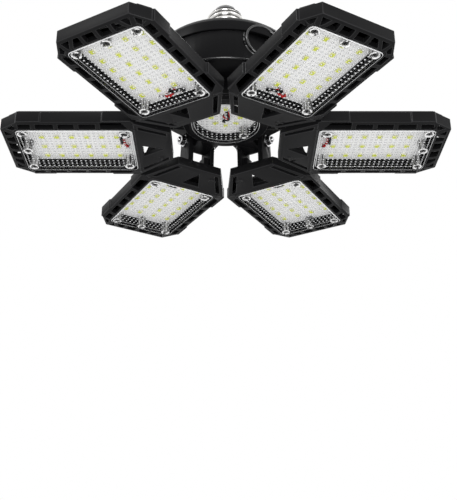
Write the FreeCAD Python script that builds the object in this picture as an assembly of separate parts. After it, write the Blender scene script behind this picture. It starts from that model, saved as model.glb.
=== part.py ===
"""Screw-in garage light: a round hub on a lamp base, with six hinged light panels around it.

Millimetres, +Z up, the light hanging with its panels opened flat. The origin is on the hub's axis, at the
lower end of the screw shell, where the rim of the lampholder ends up. A panel is drawn in its own frame:
s runs outward from the hinge axis, t along the hinge axis, u upward from the face of its lens.
"""
import FreeCAD, Part
import math
import os

V = FreeCAD.Vector
UP = V(0, 0, 1)

# ---- driving sizes: lamp base and hub (depths are distances below the origin) ----------------------------
shell_radius = 13.0          # crest radius of the screw shell
shell_length = 18.8          # what stands out of the collar
shell_seat = 2.5             # what stands inside the collar
shell_neck = 0.6             # the part inside the collar is this much thinner in radius
shell_lip = 1.8              # the turned-in top edge
insulator_height = 4.3
insulator_top_radius = 8.2
contact_radius = 4.7
contact_tip_radius = 3.1
contact_height = 4.6
collar_top_radius = 15.5
collar_base_radius = 18.0
collar_depth = 8.9           # of the collar's lower face
collar_top = 0.4             # depth of its upper face
drum_radius = 51.0
cap_overhang = 1.0           # of the cap past the drum, in radius
cap_radius = drum_radius + cap_overhang
cap_skirt_top = 26.0
cap_skirt_end = 32.5
cap_wall = 2.0
vent_inner_radius = 33.0
vent_outer_radius = 38.6
vent_drop = 6.0              # height of the conical band that holds the vents
vent_count = 24
vent_width = 6.2
vent_height = 1.3
vent_row_drops = (2.4, 4.9)  # below the cap's top face
drum_end = 54.1
drum_wall = 2.2
register_height = 3.6        # spigot of the drum inside the cap
port_azimuth = -63.0         # degrees from +X
port_depth = 38.0            # centre of the side port below the collar's top face
port_radius = 12.3
port_wall = 1.6
port_proud = 1.6
port_recess = 4.5
plug_thickness = 2.0
carrier_radius = 30.0
carrier_lip_radius = 28.3
carrier_lip = 3.6            # height of the stepped lower edge
carrier_end = 69.9
spigot_radius = 21.7
spigot_height = 3.6
fit_gap = 0.2                # play of a part in its seat
running_gap = 0.05           # radial play of a hinge bolt
face_gap = 0.15              # play beside a hinge lug
head_gap = 0.05              # play of a turning arm against bolt head and nut

# ---- driving sizes: hinges -------------------------------------------------------------------------------
panel_count = 6
hinge_radius = 43.0          # hinge axis from the hub's axis
hinge_depth = 62.5           # hinge axis below the collar's top face
lug_radius = 6.3
lug_width = 12.8
lug_shift = 2.3              # lug centre towards the cable's side
nut_arm_width = 3.8
cable_arm_width = 3.2
bolt_radius = 2.0
bolt_head_height = 2.3
nut_across_flats = 7.0
nut_height = 4.3             # washer and nut together
bolt_tail = 1.4              # thread past the nut
cable_radius = 1.4
cable_flats = 8
cable_bend_step = 24.0       # largest turn between two flats, in degrees
gland_width = 5.0            # square block that a lead enters, on the hub and on the panel
gland_depth = 7.0
lead_exit = 1.6              # where a lead starts, inside the hinge carrier's radius
lead_stub = 4.0              # its first straight run

# ---- driving sizes: one light panel ----------------------------------------------------------------------
lens_drop = 28.4             # lens face below the hinge axis
lens_start = 16.1
lens_end = 90.1
lens_half = 24.5
lens_corner = 3.0
lens_face = 1.6              # thickness of the lens's face
lens_skirt = 1.3
board_depth = 7.9            # face of the light board behind the lens's face
board_thickness = 1.6
pad_inset = 0.9              # heat sink's pad from the lens's outline
led_rows = 6
led_columns = 4
led_first = 28.1
led_row_pitch = 9.8
led_column_pitch = 11.5
led_size = (3.5, 2.8, 1.0)
rim_depth = 1.8              # front of the rim behind the lens's face, at its outer edge
rim_lip = 0.3                # and beside the lens
rim_slope = 5.6              # width of the slope between the two
rim_plate = 2.4
frame_back = 9.6
frame_wall = 1.8
pocket_wall = 1.1
end_reach = 99.4
end_half = 24.0
side_half = 31.8
side_end = 88.0
nose_reach = -7.8
nose_half = 16.5
nose_face = 0.8              # depth of the nose plate beside the lens
nose_slope = 0.115
nose_plate = 3.0
inner_pad = (16.5, 34.2, 1.4)    # start, end and height of the thick stretch of wall by the hinge
outer_pad = (73.4, 88.0, 0.9)
side_openings = ((38.8, 49.2), (52.2, 62.2), (65.2, 76.6), (79.6, 87.4))
hinge_opening = (18.2, 21.6, 22.6, 35.8)
end_openings = (((1.3, 8.6), (1.3, 8.6)), ((11.0, 17.8), (11.0, 14.3)), ((20.6, 20.6), (17.2, 22.6)))
corner_opening = ((1.7, 24.2), (5.3, 25.0), (0.1, 28.6), (-0.5, 26.0))     # s from the lens's end
nose_slot = ((12.4, 23.6), (12.6, 26.8), (-5.0, 15.9), (-4.9, 13.1))
nose_hole = ((11.0, -6.4), (11.0, 6.4), (-2.4, 0))     # around the lug's middle
nose_web = (-3.4, 3.6, 17.7)     # start, end and top of the web beside the cable's arm
sink_flange = 1.8
sink_flange_inset = 1.5
sink_start = 14.5
sink_end = 94.4
sink_top = 17.0
sink_valley = 15.4
rib_first = 79.0
rib_pitch = 7.3
rib_count = 8
rib_land = 1.5
sink_half = 20.0
sink_deck = 13.4
back_boss_s = 85.5
back_boss_radius = 5.2
back_boss_top = 18.2

# ---- driving sizes: centre light and driver --------------------------------------------------------------
centre_lens_radius = 22.7
centre_lens_face = 70.9      # below the collar's top face
centre_board_depth = 6.7     # board's face above the lens's face
centre_board_radius = 20.2
centre_led_circle = 9.7
centre_led_count = 8
driver_side = 56.0
post_width = 4.0
driver_depth = 44.0
driver_thickness = 1.6
capacitor_size = (6.5, 16.0)
capacitor_place = (14.0, 12.0)
coil_size = (18.0, 16.0, 13.0)
coil_place = (-24.0, -8.0)
rectifier_size = (12.0, 6.0, 10.0)
rectifier_place = (6.0, -20.0)


# ---- helpers ---------------------------------------------------------------------------------------------
def face_of(points):
    return Part.Face(Part.makePolygon(list(points) + [points[0]]))


def prism(points, u0, u1):
    """Outline in s and t, from depth u0 to u1."""
    return face_of([V(s, t, u0) for s, t in points]).extrude(V(0, 0, u1 - u0))


def side_prism(points, t0, t1):
    """Outline in s and u, from t0 to t1."""
    return face_of([V(s, t0, u) for s, u in points]).extrude(V(0, t1 - t0, 0))


def slab(inset, u0, u1):
    """Block inside the lens's outline, from depth u0 to u1."""
    length = lens_end - lens_start - 2 * inset
    width = 2 * (lens_half - inset)
    return Part.makeBox(length, width, u1 - u0, V(lens_start + inset, -width / 2, u0))


def rounded(s0, s1, half, radius, u0, u1):
    """Rectangle with rounded corners, from depth u0 to u1."""
    block = Part.makeBox(s1 - s0, 2 * half, u1 - u0, V(s0, -half, u0))
    upright = [e for e in block.Edges if abs(e.tangentAt(e.FirstParameter).z) > 0.99]
    return block.makeFillet(radius, upright)


def rod(radius, start, end):
    axis = end - start
    return Part.makeCylinder(radius, axis.Length, start, axis)


def turned(start, *moves):
    """Solid of revolution: the outline in radius and height, by lines (r, z) or arcs (r, z, r, z)."""
    edges = []
    here = V(start[0], 0, start[1])
    for move in list(moves) + [start]:
        there = V(move[-2], 0, move[-1])
        if len(move) == 4:
            edges.append(Part.Arc(here, V(move[0], 0, move[1]), there).toShape())
        elif (there - here).Length > 1e-6:
            edges.append(Part.LineSegment(here, there).toShape())
        here = there
    return Part.Face(Part.Wire(edges)).revolve(V(0, 0, 0), UP, 360)


def mirrored_pair(points):
    return points + [(s, -t) for s, t in reversed(points)]


def around(shape, angle):
    copy = shape.copy()
    copy.rotate(V(0, 0, 0), UP, angle)
    return copy


def joined(shapes):
    whole = shapes[0].fuse(list(shapes[1:]))
    return whole.removeSplitter()


def save(name, shape):
    shape.exportStep("parts/%s.step" % name)
    print("%-24s solids %2d  volume %9.1f" % (name, len(shape.Solids), shape.Volume))


# ---- hub -------------------------------------------------------------------------------------------------
def lamp_base():
    """Screw shell, glass insulator and centre contact."""
    rim = shell_radius - shell_lip
    neck = shell_radius - shell_neck
    shell = turned((0, -shell_seat), (neck, -shell_seat), (neck, 0), (shell_radius, 0),
                   (shell_radius, shell_length - shell_lip), (rim, shell_length), (0, shell_length))
    top = shell_length + insulator_height
    insulator = turned((0, shell_length), (rim, shell_length), (insulator_top_radius, top), (0, top))
    step = top + contact_height / 2
    contact = turned((0, top), (contact_radius, top), (contact_radius, step), (contact_tip_radius, step),
                     (contact_tip_radius, top + contact_height), (0, top + contact_height))
    return shell, insulator, contact


def collar():
    """Tapered ring with a round seat for the neck of the screw shell."""
    seat = shell_radius - shell_neck + fit_gap
    return turned((0, -collar_depth), (collar_base_radius, -collar_depth), (collar_top_radius, -collar_top),
                  (seat, -collar_top), (seat, -shell_seat), (0, -shell_seat))


def port_axis():
    angle = math.radians(port_azimuth)
    return V(math.cos(angle), math.sin(angle), 0)


def port_rod(radius, r0, r1):
    centre = V(0, 0, -port_depth)
    return rod(radius, centre + port_axis() * r0, centre + port_axis() * r1)


def ring_of_flats(radius, z):
    """Outline with one flat for each column of vents."""
    corners = [(i + 0.5) * 2 * math.pi / vent_count for i in range(vent_count)]
    points = [V(radius * math.cos(a), radius * math.sin(a), z) for a in corners]
    return Part.makePolygon(points + points[:1])


def vented_cap():
    """Upper half of the housing: a flat crown, a sloping band with two rows of vents, and the dome."""
    top = -collar_depth
    band_end = top - vent_drop
    skirt_top = -cap_skirt_top
    inside = cap_radius - cap_wall
    crown = Part.makeLoft([ring_of_flats(vent_inner_radius, top), ring_of_flats(vent_outer_radius, band_end)],
                          True, True)
    hollow = crown.copy()
    hollow.translate(V(0, 0, -cap_wall))
    ledge = vent_outer_radius - 2.4
    shoulder = (cap_radius - 3.2, band_end - 5.6)
    dome = turned((ledge, band_end), (vent_outer_radius + 0.4, band_end), shoulder,
                  (cap_radius, skirt_top), (cap_radius, -cap_skirt_end), (inside, -cap_skirt_end),
                  (inside, skirt_top), (ledge, band_end - cap_wall - 0.5))
    cap = crown.cut(hollow).fuse(dome)
    cutters = [Part.makeCylinder(shell_radius, cap_wall * 2, V(0, 0, top - cap_wall - 1))]
    for row in vent_row_drops:
        for i in range(vent_count):
            slot = Part.makeBox(16, vent_width, vent_height,
                                V(vent_inner_radius - 6, -vent_width / 2, top - row - vent_height / 2))
            cutters.append(around(slot, i * 360.0 / vent_count))
    cutters.append(port_rod(port_radius + fit_gap + 0.1, drum_radius - 11, cap_radius + 8))
    return cap.cut(cutters).removeSplitter()


def drum():
    """Lower half of the housing: side wall, floor, the rim that enters the cap, and the side port."""
    top = -cap_skirt_end - fit_gap
    base = -drum_end
    wall = drum_radius - drum_wall
    register = cap_radius - cap_wall - fit_gap - 0.1
    shell = turned(
        (spigot_radius + fit_gap, base), (drum_radius, base), (drum_radius, top), (register, top),
        (register, top + register_height), (wall, top + register_height), (wall, base + drum_wall),
        (spigot_radius + fit_gap, base + drum_wall))
    shell = shell.fuse(port_rod(port_radius, drum_radius - 9, drum_radius + port_proud))
    return shell.cut(port_rod(port_radius - port_wall, drum_radius - 12, drum_radius + 8)).removeSplitter()


def side_port_plug():
    face = drum_radius + port_proud - port_recess
    return port_rod(port_radius - port_wall - fit_gap, face - plug_thickness, face)


def hinge_carrier():
    """Ring under the drum with six lugs, the cable glands and the seat of the centre light."""
    base = -drum_end
    seat = centre_lens_radius + fit_gap
    board_back = -centre_lens_face + centre_board_depth + board_thickness
    lip = -carrier_end + carrier_lip
    body = turned(
        (0, board_back), (seat, board_back), (seat, -carrier_end), (carrier_lip_radius, -carrier_end),
        (carrier_lip_radius, lip), (carrier_radius, lip), (carrier_radius, base), (spigot_radius, base),
        (spigot_radius, base + spigot_height), (0, base + spigot_height))
    pieces = [body]
    bores = []
    for angle, side in panel_places():
        t0 = -side * lug_shift - lug_width / 2
        block = Part.makeBox(hinge_radius - carrier_radius + 3, lug_width, 2 * lug_radius,
                             V(carrier_radius - 3, t0, -hinge_depth - lug_radius))
        barrel = Part.makeCylinder(lug_radius, lug_width, V(hinge_radius, t0, -hinge_depth), V(0, 1, 0))
        bore = Part.makeCylinder(bolt_radius + running_gap, lug_width + 2,
                                 V(hinge_radius, t0 - 1, -hinge_depth), V(0, 1, 0))
        start = cable_points(side)[0]
        corner = V(carrier_radius - gland_depth, start.y - gland_width / 2, start.z - gland_width / 2)
        gland = Part.makeBox(start.x - corner.x, gland_width, gland_width, corner)
        pieces += [around(block, angle), around(barrel, angle), around(gland, angle)]
        bores.append(around(bore, angle))
    return joined(pieces).cut(bores)


def hexagon(across, centre):
    corner = across / 2 / math.cos(math.pi / 6)
    return face_of([centre + V(corner * math.cos(k * math.pi / 3), 0, corner * math.sin(k * math.pi / 3))
                    for k in range(6)])


def hinge_hardware():
    """Bolts and nuts of the six hinges, lying along the hinge axes; a nut includes its washer."""
    cable_face, nut_face = arm_faces()
    head_seat = -cable_face - head_gap
    nut_seat = nut_face + head_gap
    bolts = []
    nuts = []
    for angle, side in panel_places():
        def along(t):
            return V(hinge_radius, side * t, -hinge_depth)
        shank = rod(bolt_radius, along(head_seat), along(nut_seat + nut_height + bolt_tail))
        head = hexagon(nut_across_flats, along(head_seat)).extrude(V(0, -side * bolt_head_height, 0))
        bolts.append(around(shank.fuse(head), angle))
        nut = hexagon(nut_across_flats, along(nut_seat)).extrude(V(0, side * nut_height, 0))
        bore = rod(bolt_radius + running_gap, along(nut_seat - 1), along(nut_seat + nut_height + 1))
        nuts.append(around(nut.cut(bore), angle))
    return Part.makeCompound(bolts), Part.makeCompound(nuts)


def centre_light():
    """Lens, board and chips of the round light in the middle of the hub."""
    face = -centre_lens_face
    board_face = face + centre_board_depth
    inside = centre_lens_radius - lens_skirt
    lens = turned((0, face), (centre_lens_radius, face), (centre_lens_radius, board_face + board_thickness),
                  (inside, board_face + board_thickness), (inside, face + lens_face), (0, face + lens_face))
    board = Part.makeCylinder(centre_board_radius, board_thickness, V(0, 0, board_face))
    leds = []
    for i in range(centre_led_count):
        corner = V(centre_led_circle - led_size[0] / 2, -led_size[1] / 2, board_face - led_size[2])
        chip = Part.makeBox(*led_size, corner)
        leds.append(around(chip, i * 360.0 / centre_led_count))
    return lens, board, Part.makeCompound(leds)


def driver():
    """Power board on four posts of the drum's floor, with its capacitor, coil and rectifier."""
    z = -driver_depth
    face = z + driver_thickness
    half = driver_side / 2
    board = Part.makeBox(driver_side, driver_side, driver_thickness, V(-half, -half, z))
    floor = -drum_end + drum_wall
    spots = [(x, y) for x in (-half, half - post_width) for y in (-half, half - post_width)]
    posts = [Part.makeBox(post_width, post_width, z - floor, V(x, y, floor)) for x, y in spots]
    capacitor = Part.makeCylinder(*capacitor_size, V(*capacitor_place, face))
    coil = Part.makeBox(*coil_size, V(*coil_place, face))
    rectifier = Part.makeBox(*rectifier_size, V(*rectifier_place, face))
    return joined([board] + posts), Part.makeCompound([capacitor, coil, rectifier])


# ---- light panels ----------------------------------------------------------------------------------------
def panel_places():
    """Angle from +X of each panel, and +1 or -1 for the side of its nut along t."""
    places = []
    for i in range(panel_count):
        angle = -60.0 + i * 360.0 / panel_count
        places.append((angle, -1 if i < panel_count / 2 else 1))
    return places


def arm_faces():
    """Distance of the outer faces of the two arms from the panel's middle plane."""
    half = lug_width / 2 + face_gap
    return lug_shift + half + cable_arm_width, half - lug_shift + nut_arm_width


def outline():
    flank = (side_half - nose_half) / 0.657 + nose_reach
    return mirrored_pair([(nose_reach, nose_half), (flank, side_half), (side_end, side_half),
                          (end_reach, end_half)])


def inset_outline(distance, u0, u1):
    wire = Part.makePolygon([V(s, t, u0) for s, t in outline() + outline()[:1]])
    return Part.Face(wire.makeOffset2D(-distance)).extrude(V(0, 0, u1 - u0))


def sloping_rim():
    """The outline at the rim's depth, drawn in to a smaller one beside the lens."""
    corners = [V(s, t, rim_depth) for s, t in outline()]
    ways = [(after - here).normalize() for here, after in zip(corners, corners[1:] + corners[:1])]
    inner = []
    for before, corner, after in zip(ways[-1:] + ways, corners, ways):
        half_turn = before.getAngle(after) / 2
        inward = (after - before).normalize()
        inner.append(corner + inward * (rim_slope / math.cos(half_turn)) + V(0, 0, rim_lip - rim_depth))
    return Part.makeLoft([Part.makePolygon(ring + ring[:1]) for ring in (corners, inner)], True, True)


def nose_line(s):
    """Depth of the sloping front of the nose plate."""
    return nose_face + (lens_start - s) * nose_slope


def side_windows():
    """Openings of the rim along one long side, with the wide one by the hinge."""
    inner = lens_half + fit_gap + pocket_wall + 0.1
    outer = side_half - frame_wall - 0.2
    windows = []
    for s0, s1 in side_openings:
        windows.append([(s0, inner), (s1, inner), (s1, outer), (s0, outer)])
    wide = outer + inner_pad[2]
    start, corner, shoulder, end = hinge_opening
    windows.append([(start, inner), (end, inner), (end, wide), (shoulder, wide), (corner, wide - 1.2)])
    return windows


def end_windows():
    """Openings of the rim along one half of the outer end, up to the corner."""
    inner = lens_end + fit_gap + pocket_wall + 0.2
    outer = end_reach - frame_wall - 0.4
    windows = [[(lens_end + s, t) for s, t in corner_opening]]
    for (inner_start, inner_stop), (outer_start, outer_stop) in end_openings:
        window = [(inner, inner_start), (outer, outer_start), (outer, outer_stop)]
        if inner_stop > inner_start:
            window.append((inner, inner_stop))
        windows.append(window)
    return windows


def cut_both_sides(shape, windows, u0, u1):
    cutters = []
    for window in windows:
        cutters.append(prism(window, u0, u1))
        cutters.append(prism([(s, -t) for s, t in window], u0, u1))
    return shape.cut(cutters)


def hinge_arm(t0, t1):
    foot = nose_line(0) + nose_plate / 2
    blade = side_prism([(-5.6, foot + 1.2), (11.0, foot - 1.8), (8.4, foot + 5.5), (lug_radius, lens_drop),
                        (-lug_radius, lens_drop)], t0, t1)
    eye = Part.makeCylinder(lug_radius, t1 - t0, V(0, t0, lens_drop), V(0, 1, 0))
    return blade.fuse(eye)


def panel_frame(side):
    """Moulded rim with its ladder of openings, nose plate and the two hinge arms."""
    front = rim_depth
    back = frame_back
    tray = prism(outline(), front, back)
    tray = tray.cut(inset_outline(frame_wall, front + rim_plate, back + 1))
    for start, end, height in (inner_pad, outer_pad):
        pad = [(start - height, side_half - 0.5), (start, side_half + height), (end, side_half + height),
               (end + 0.6, side_half - 0.5)]
        tray = tray.fuse([prism(pad, front, back), prism([(s, -t) for s, t in pad], front, back)])
    tray = tray.fuse([sloping_rim(), slab(-fit_gap - pocket_wall, rim_lip, back)])
    tray = cut_both_sides(tray, side_windows() + end_windows(), 0, front + rim_plate + 1)

    # the nose: a sloping plate between the side walls, with a slot along each wall and a three-cornered hole
    nose_end = lens_start - fit_gap - pocket_wall
    clear = prism(mirrored_pair([(nose_reach - 2, nose_half + 12), (nose_end, side_half + 4)]), 0, back + 1)
    walls = tray.common(clear)
    tray = tray.cut(clear)
    hollow = inset_outline(frame_wall, 0, back + 1).common(clear)
    plate = side_prism([(nose_reach, nose_line(nose_reach)), (nose_end, nose_line(nose_end)),
                        (nose_end, nose_line(nose_end) + nose_plate),
                        (nose_reach, nose_line(nose_reach) + nose_plate)], -side_half, side_half)
    plate = plate.common(prism(outline(), 0, back + 1))
    walls = walls.cut(hollow)
    wedge = side_prism([(nose_reach - 1, 0), (nose_end, 0), (nose_end, nose_line(nose_end)),
                        (nose_reach - 1, nose_line(nose_reach - 1))], -40, 40)
    nose = walls.cut(wedge).fuse(plate)
    nose = cut_both_sides(nose, [nose_slot], 0, back + 1)
    nose = nose.cut(prism([(s, t - side * lug_shift) for s, t in nose_hole], 0, back + 1))

    half = lug_width / 2 + face_gap
    cable_face, nut_face = arm_faces()
    cable_arm = (-side * cable_face, -side * (half + lug_shift))
    nut_arm = (side * (half - lug_shift), side * nut_face)
    web = (-side * (half + lug_shift), -side * 5.4)
    arms = [hinge_arm(min(span), max(span)) for span in (cable_arm, nut_arm)]
    start, end, top = nose_web
    corners = [(start, nose_line(start) + 1), (end, nose_line(end) + 1), (end, top), (start, top)]
    stiffener = side_prism(corners, min(web), max(web))
    entry = cable_points(side)[-1] - V(hinge_radius, 0, -hinge_depth - lens_drop)
    inlet = Part.makeBox(gland_width, gland_width, entry.z - nose_line(entry.x),
                         V(entry.x - gland_width / 2, entry.y - gland_width / 2, nose_line(entry.x)))
    frame = joined([tray, nose, inlet, stiffener] + arms)
    pocket = rounded(lens_start - fit_gap, lens_end + fit_gap, lens_half + fit_gap, lens_corner, 0, back + 1)
    bore = rod(bolt_radius + running_gap, V(0, -side_half, lens_drop), V(0, side_half, lens_drop))
    return frame.cut([pocket, bore]).removeSplitter()


def panel_lens():
    """Clear cover: a flat face with a skirt that stands on the heat sink, around the board."""
    depth = board_depth + board_thickness
    lens = rounded(lens_start, lens_end, lens_half, lens_corner, 0, depth)
    return lens.cut(slab(lens_skirt, lens_face, depth + 1))


def light_board():
    return slab(lens_skirt + fit_gap, board_depth, board_depth + board_thickness)


def panel_leds():
    chips = []
    for row in range(led_rows):
        for column in range(led_columns):
            s = led_first + row * led_row_pitch
            t = (column - (led_columns - 1) / 2) * led_column_pitch
            chips.append(Part.makeBox(*led_size, V(s - led_size[0] / 2, t - led_size[1] / 2,
                                                   board_depth - led_size[2])))
    return Part.makeCompound(chips)


def heat_sink():
    """Back cover of the panel: a pad behind the board, a flange on the frame and stepped ribs across."""
    seat = board_depth + board_thickness
    pad = slab(pad_inset, seat, frame_back + 0.5)
    flange = inset_outline(sink_flange_inset, frame_back, frame_back + sink_flange)
    span = mirrored_pair([(sink_start, side_half + 8), (sink_end, side_half + 8)])
    flange = flange.common(prism(span, 0, 20))
    low = frame_back + sink_flange - 0.3
    steps = [(sink_end - 0.8, low), (sink_end - 6.5, sink_deck), (rib_first + 0.6, sink_deck)]
    for i in range(rib_count):
        s = rib_first - i * rib_pitch
        steps += [(s, sink_top), (s - rib_land, sink_top), (s - rib_pitch + 0.6, sink_valley)]
    steps += [(sink_start + 1.5, sink_deck), (sink_start + 1.5, low)]
    ribs = side_prism(steps, -sink_half, sink_half)
    boss = rod(back_boss_radius, V(back_boss_s, 0, low), V(back_boss_s, 0, back_boss_top))
    return joined([pad, flange, ribs, boss])


def cable_points(side):
    """Route of a panel's lead: out of the hub, past the bolt's head, and down to the back of the nose plate.
    Outward, sideways and upward from the middle of the hinge."""
    cable_face = arm_faces()[0]
    exit_side = cable_face + 0.35
    beside_head = cable_face + head_gap + bolt_head_height + cable_radius + 0.5
    entry_side = cable_face + cable_radius + 0.9
    exit_out = carrier_radius - lead_exit - hinge_radius
    route = [(exit_out, exit_side, 2.6), (exit_out + lead_stub, exit_side, 2.6),
             (-4.8, beside_head, 3.0), (4.6, beside_head, 3.4),
             (5.4, beside_head - 0.5, -8.0), (2.2, entry_side, -12.4), (2.2, entry_side, -17.4)]
    hinge = V(hinge_radius, 0, -hinge_depth)
    return [hinge + V(out, -side * along, up) for out, along, up in route]


def bend(before, corner, after):
    """Points of the largest arc between two runs, ends included, and its radius."""
    a = before - corner
    b = after - corner
    reach = 0.46 * min(a.Length, b.Length)
    a.normalize()
    b.normalize()
    half_angle = a.getAngle(b) / 2
    radius = reach * math.tan(half_angle)
    centre = corner + (a + b).normalize() * (radius / math.sin(half_angle))
    start = corner + a * reach - centre
    normal = a.cross(b).normalize()
    turn = math.degrees(math.pi - 2 * half_angle)
    steps = max(2, math.ceil(turn / cable_bend_step))
    points = []
    for i in range(steps + 1):
        points.append(centre + FreeCAD.Rotation(normal, -turn * i / steps).multVec(start))
    return points, radius


def panel_cable(side):
    """The lead: straight runs joined by tangent arcs, its round section and its arcs drawn in short flats."""
    points = cable_points(side)
    path = [points[0]]
    radii = []
    for before, corner, after in zip(points, points[1:], points[2:]):
        arc, radius = bend(before, corner, after)
        path += arc
        radii.append(round(radius, 1))
    path.append(points[-1])
    along = points[1] - points[0]
    across = V(0, 1, 0)
    up = along.cross(across).normalize()
    ring = []
    for i in range(cable_flats):
        a = (i + 0.5) * 2 * math.pi / cable_flats
        ring.append(points[0] + across * cable_radius * math.cos(a) + up * cable_radius * math.sin(a))
    tube = Part.makePolygon(path).makePipeShell([Part.makePolygon(ring + ring[:1])], True, False, 1)
    length = sum((q - p).Length for p, q in zip(path, path[1:]))
    area = cable_flats / 2 * cable_radius ** 2 * math.sin(2 * math.pi / cable_flats)
    print("cable: bend radii %s, length %.1f, volume over section x length %.4f"
          % (radii, length, tube.Volume / (area * length)))
    return tube


def place_panel(shape, angle):
    copy = shape.copy()
    copy.translate(V(hinge_radius, 0, -hinge_depth - lens_drop))
    return around(copy, angle)


# ---- build -----------------------------------------------------------------------------------------------
def build():
    os.makedirs("parts", exist_ok=True)
    shell, insulator, contact = lamp_base()
    save("lamp_base_shell", shell)
    save("lamp_base_insulator", insulator)
    save("lamp_base_contact", contact)
    save("base_collar", collar())
    save("vented_cap", vented_cap())
    save("drum_housing", drum())
    save("side_port_plug", side_port_plug())
    save("hinge_carrier", hinge_carrier())
    bolts, nuts = hinge_hardware()
    save("hinge_bolts", bolts)
    save("hinge_nuts", nuts)
    lens, board, leds = centre_light()
    save("centre_lens", lens)
    save("centre_light_board", board)
    save("centre_leds", leds)
    board, parts = driver()
    save("driver_board", board)
    save("driver_parts", parts)

    frames = {side: panel_frame(side) for side in (-1, 1)}
    cables = {side: panel_cable(side) for side in (-1, 1)}
    shared = {"lens": panel_lens(), "light_board": light_board(), "leds": panel_leds(),
              "heat_sink": heat_sink()}
    for number, (angle, side) in enumerate(panel_places(), 1):
        save("panel_%d_frame" % number, place_panel(frames[side], angle))
        for name, shape in shared.items():
            save("panel_%d_%s" % (number, name), place_panel(shape, angle))
        save("panel_%d_cable" % number, around(cables[side], angle))


build()
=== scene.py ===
import math

import bmesh
import bpy
import numpy as np
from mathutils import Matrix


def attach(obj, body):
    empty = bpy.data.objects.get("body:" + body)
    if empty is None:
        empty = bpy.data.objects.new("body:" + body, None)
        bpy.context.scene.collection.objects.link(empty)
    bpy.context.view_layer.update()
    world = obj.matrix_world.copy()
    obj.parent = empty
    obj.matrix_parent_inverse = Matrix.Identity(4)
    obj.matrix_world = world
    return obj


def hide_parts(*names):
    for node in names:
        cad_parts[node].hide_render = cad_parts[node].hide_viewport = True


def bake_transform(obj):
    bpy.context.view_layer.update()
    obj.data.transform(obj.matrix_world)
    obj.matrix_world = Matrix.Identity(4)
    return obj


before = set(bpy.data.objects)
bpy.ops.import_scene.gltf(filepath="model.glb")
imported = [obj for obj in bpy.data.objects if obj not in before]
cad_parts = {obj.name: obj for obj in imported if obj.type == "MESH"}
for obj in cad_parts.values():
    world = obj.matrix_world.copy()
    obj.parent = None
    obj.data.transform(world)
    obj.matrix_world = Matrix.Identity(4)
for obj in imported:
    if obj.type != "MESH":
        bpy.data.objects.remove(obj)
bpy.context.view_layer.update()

# ---- Studio -------------------------------------------------------------------------------------------------
# The light hangs in the air and is seen from below, as by someone looking up at a garage ceiling. The camera
# stands half a metre in front of it and looks up at it. A white world stands behind everything, and a pale floor
# lies far below.
look_up = 24.7               # degrees above the horizon
camera_data = bpy.data.cameras.new("camera")
camera_data.sensor_width = 36.0
camera_data.lens = 64.2
camera_data.shift_x = 0.0057
camera_data.shift_y = -0.002
camera = bpy.data.objects.new("camera", camera_data)
camera.location = (0.0, -0.5034, -0.3927)
camera.rotation_euler = (math.radians(90 + look_up), 0, 0)
bpy.context.scene.collection.objects.link(camera)
bpy.context.scene.camera = camera
bpy.context.scene.view_settings.view_transform = "Standard"


def softbox(name, place, aim, size, power):
    """A square lamp at place that faces the point aim."""
    data = bpy.data.lights.new(name, "AREA")
    data.size = size
    data.energy = power
    lamp = bpy.data.objects.new(name, data)
    away = np.array(place, float) - np.array(aim, float)
    flat = math.hypot(away[0], away[1])
    lamp.rotation_euler = (math.atan2(flat, away[2]), 0, math.atan2(away[1], away[0]) + math.pi / 2)
    lamp.location = place
    lamp.visible_camera = False
    bpy.context.scene.collection.objects.link(lamp)


middle = (0, 0, -0.06)
softbox("key_light", (-0.92, -0.50, 0.66), middle, 0.35, 3.6)
softbox("fill_light", (0.9, -0.9, 0.1), middle, 0.6, 3.7)
softbox("low_light", (0.0, -0.75, -0.56), middle, 0.3, 2.6)
softbox("back_light", (0.3, 0.9, 0.6), middle, 0.8, 5)


class Value:
    """A number somewhere in a material. A sum or a product of it adds its Math node."""

    def __init__(self, finish, socket):
        self.finish = finish
        self.socket = socket

    def maths(self, operation, *numbers):
        return self.finish.node("ShaderNodeMath", {"operation": operation}, dict(enumerate(numbers)))

    def __add__(self, other):
        return self.maths("ADD", self, other)

    def __sub__(self, other):
        return self.maths("SUBTRACT", self, other)

    def __rsub__(self, other):
        return self.maths("SUBTRACT", other, self)

    def __mul__(self, other):
        return self.maths("MULTIPLY", self, other)

    def __truediv__(self, other):
        return self.maths("DIVIDE", self, other)

    def __rtruediv__(self, other):
        return self.maths("DIVIDE", other, self)

    __radd__ = __add__
    __rmul__ = __mul__

    def root(self):
        return self.maths("SQRT", self)

    def below(self, limit, softness):
        """1 where the value is well under limit, 0 where it is over, with a soft step between."""
        settings = {"interpolation_type": "SMOOTHSTEP"}
        sockets = {"Value": self, "From Min": limit - softness, "From Max": limit + softness,
                   "To Min": 1.0, "To Max": 0.0}
        return self.finish.node("ShaderNodeMapRange", settings, sockets)

    def around_cell(self, pitch, shift=0.0):
        """How far the value is from the middle of its cell, for cells of one pitch."""
        cells = self / pitch + shift
        return (cells.maths("FRACT", cells) - 0.5) * pitch


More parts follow.
